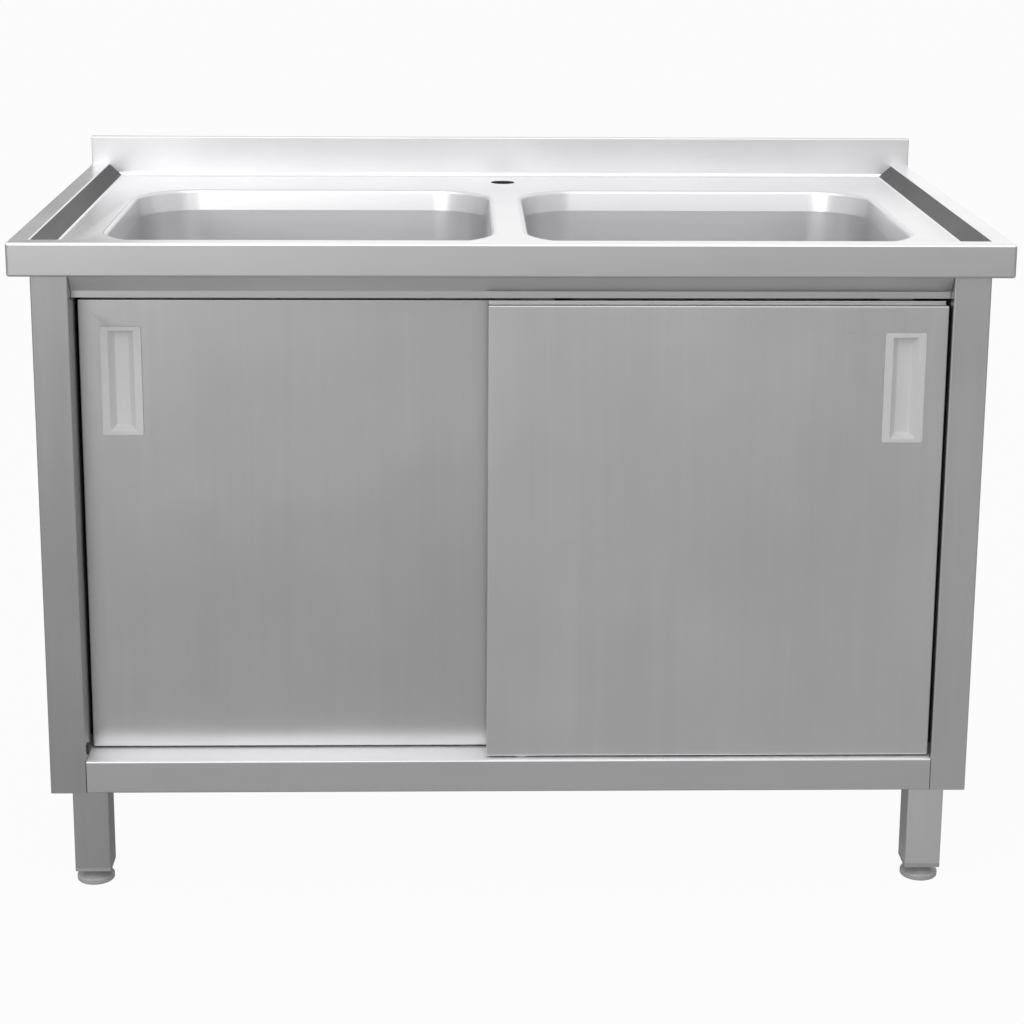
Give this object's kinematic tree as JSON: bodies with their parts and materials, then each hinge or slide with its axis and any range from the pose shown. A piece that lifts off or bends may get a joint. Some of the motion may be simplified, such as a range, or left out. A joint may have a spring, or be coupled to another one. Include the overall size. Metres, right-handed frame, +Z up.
{
  "type": "kitchen sink unit",
  "caption": "Stainless steel sink cabinet with two deep bowls, a rear upstand and a tap hole, two sliding doors with flush pulls, and square legs on levelling feet.",
  "frame": {"origin": "on the floor under the middle of the worktop", "axes": "+X along the worktop to the right as seen from the front, +Y to the back, +Z up"},
  "size_m": [1.2, 0.7, 0.866],
  "materials": {
    "pressed_steel": "satin brushed",
    "bowl_steel": "satin drawn",
    "sheet_steel": "satin brushed",
    "door_steel": "satin brushed",
    "tube_steel": "satin brushed",
    "track_steel": "plain rolled",
    "bolt_steel": "bright",
    "pull_plastic": "fine matt",
    "foot_plastic": "satin",
    "grey_plastic": "matt",
    "white_plastic": "satin",
    "buffer_rubber": "matt"
  },
  "bodies": {
    "cabinet": {"worktop": "pressed_steel", "left_bowl": "bowl_steel", "right_bowl": "bowl_steel", "left_side_panel": "sheet_steel", "right_side_panel": "sheet_steel", "back_panel": "sheet_steel", "floor_tray": "sheet_steel", "front_beam": "sheet_steel", "rear_beam": "sheet_steel", "door_track": "track_steel", "centre_guide": "white_plastic", "guide_screw": "bolt_steel", "door_buffers": "buffer_rubber", "corner_plates": "track_steel", "leg_bolts": "bolt_steel", "front_left_leg": "tube_steel", "front_left_leg_plug": "grey_plastic", "front_right_leg": "tube_steel", "front_right_leg_plug": "grey_plastic", "rear_left_leg": "tube_steel", "rear_left_leg_plug": "grey_plastic", "rear_right_leg": "tube_steel", "rear_right_leg_plug": "grey_plastic"},
    "left_door": {"left_door_pan": "door_steel", "left_door_liner": "door_steel", "left_pull": "pull_plastic", "left_hangers": "track_steel", "left_hanger_bolts": "bolt_steel", "left_roller_pins": "bolt_steel"},
    "right_door": {"right_door_pan": "door_steel", "right_door_liner": "door_steel", "right_pull": "pull_plastic", "right_hangers": "track_steel", "right_hanger_bolts": "bolt_steel", "right_roller_pins": "bolt_steel"},
    "left_door_left_roller": {"left_door_left_roller": "white_plastic"},
    "left_door_right_roller": {"left_door_right_roller": "white_plastic"},
    "right_door_left_roller": {"right_door_left_roller": "white_plastic"},
    "right_door_right_roller": {"right_door_right_roller": "white_plastic"},
    "front_left_foot": {"front_left_foot": "foot_plastic"},
    "front_right_foot": {"front_right_foot": "foot_plastic"},
    "rear_left_foot": {"rear_left_foot": "foot_plastic"},
    "rear_right_foot": {"rear_right_foot": "foot_plastic"}
  },
  "joints": [
    {"name": "left_door_slide", "type": "slide", "parent": "cabinet", "child": "left_door", "axis": [1, 0, 0], "range_m": [0, 0.497]},
    {"name": "right_door_slide", "type": "slide", "parent": "cabinet", "child": "right_door", "axis": [-1, 0, 0], "range_m": [0, 0.497]},
    {"name": "left_door_left_roller_spin", "type": "hinge", "parent": "left_door", "child": "left_door_left_roller", "pos_m": [-0.467, -0.2725, 0.7671], "axis": [0, 1, 0], "continuous": true},
    {"name": "left_door_right_roller_spin", "type": "hinge", "parent": "left_door", "child": "left_door_right_roller", "pos_m": [-0.03, -0.2725, 0.7671], "axis": [0, 1, 0], "continuous": true},
    {"name": "right_door_left_roller_spin", "type": "hinge", "parent": "right_door", "child": "right_door_left_roller", "pos_m": [0.03, -0.3095, 0.7671], "axis": [0, 1, 0], "continuous": true},
    {"name": "right_door_right_roller_spin", "type": "hinge", "parent": "right_door", "child": "right_door_right_roller", "pos_m": [0.467, -0.3095, 0.7671], "axis": [0, 1, 0], "continuous": true},
    {"name": "front_left_foot_screw", "type": "slide", "parent": "cabinet", "child": "front_left_foot", "axis": [0, 0, -1], "range_m": [0, 0.03]},
    {"name": "front_right_foot_screw", "type": "slide", "parent": "cabinet", "child": "front_right_foot", "axis": [0, 0, -1], "range_m": [0, 0.03]},
    {"name": "rear_left_foot_screw", "type": "slide", "parent": "cabinet", "child": "rear_left_foot", "axis": [0, 0, -1], "range_m": [0, 0.03]},
    {"name": "rear_right_foot_screw", "type": "slide", "parent": "cabinet", "child": "rear_right_foot", "axis": [0, 0, -1], "range_m": [0, 0.03]}
  ],
  "couplings": [
    {"joint": "left_door_left_roller_spin", "follows": "left_door_slide", "rad_per_m": 90.909},
    {"joint": "left_door_right_roller_spin", "follows": "left_door_slide", "rad_per_m": 90.909},
    {"joint": "right_door_left_roller_spin", "follows": "right_door_slide", "rad_per_m": -90.909},
    {"joint": "right_door_right_roller_spin", "follows": "right_door_slide", "rad_per_m": -90.909}
  ]
}
